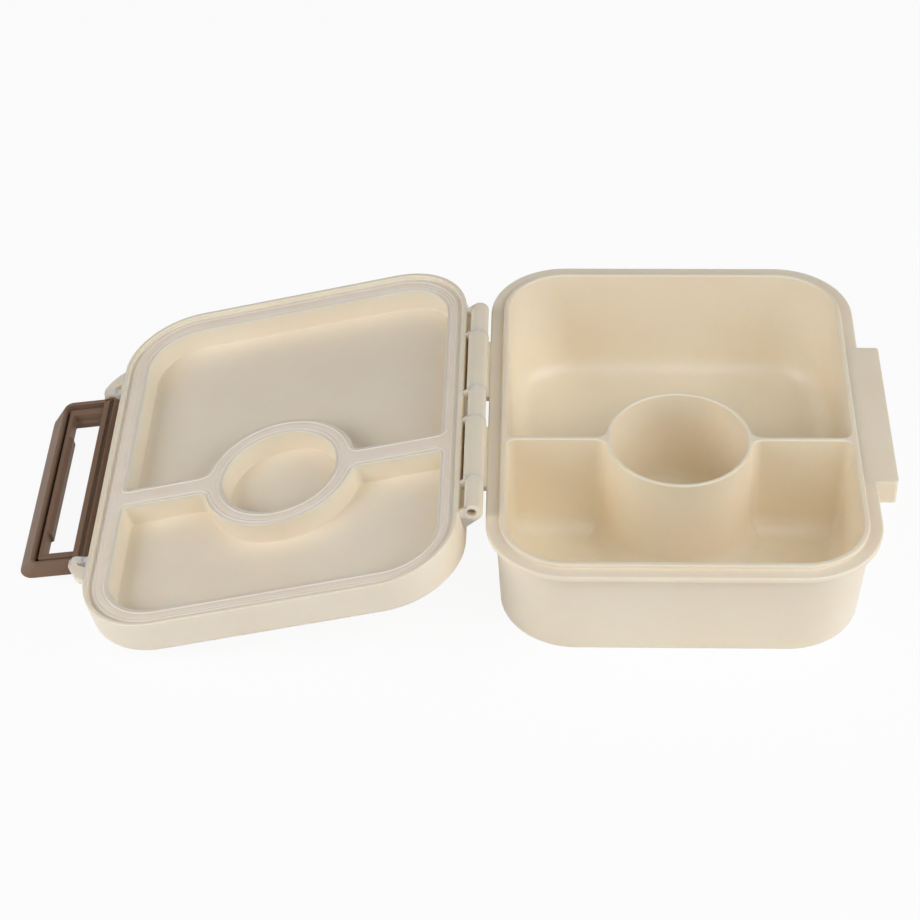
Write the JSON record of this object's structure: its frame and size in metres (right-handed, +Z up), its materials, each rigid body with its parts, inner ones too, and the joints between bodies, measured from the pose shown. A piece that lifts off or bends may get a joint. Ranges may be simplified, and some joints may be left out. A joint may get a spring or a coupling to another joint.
{
  "type": "toddler snack container",
  "caption": "Hinged lunch box lying open: tub with a divider and a round cup, lid with a soft seal, and a snap latch at the lid's free end.",
  "frame": {"origin": "centre of the tub's underside, on the surface it stands on", "axes": "+X from the hinge side to the catch side, +Y along the hinge and away from the compartment with the divider's short side, +Z up"},
  "size_m": [0.2987, 0.1672, 0.0461],
  "materials": {
    "tub_plastic": "cream, satin moulded",
    "lid_plastic": "cream, satin moulded",
    "seal_silicone": "soft, translucent, matt",
    "pin_steel": "bright",
    "latch_plastic": "brown, satin moulded"
  },
  "bodies": {
    "tub": {"tub": "tub_plastic", "hinge_pin": "pin_steel"},
    "lid": {"lid": "lid_plastic", "lid_seal": "seal_silicone"},
    "latch": {"latch": "latch_plastic"}
  },
  "joints": [
    {"name": "lid_hinge", "type": "hinge", "parent": "tub", "child": "lid", "pos_m": [-0.0696, 0, 0.0428], "axis": [0, 1, 0], "range_deg": [0, 193.65]},
    {"name": "latch_hinge", "type": "hinge", "parent": "lid", "child": "latch", "pos_m": [-0.20463, 0, 0.00898], "axis": [0, 1, 0], "range_deg": [0, 84.33]}
  ]
}
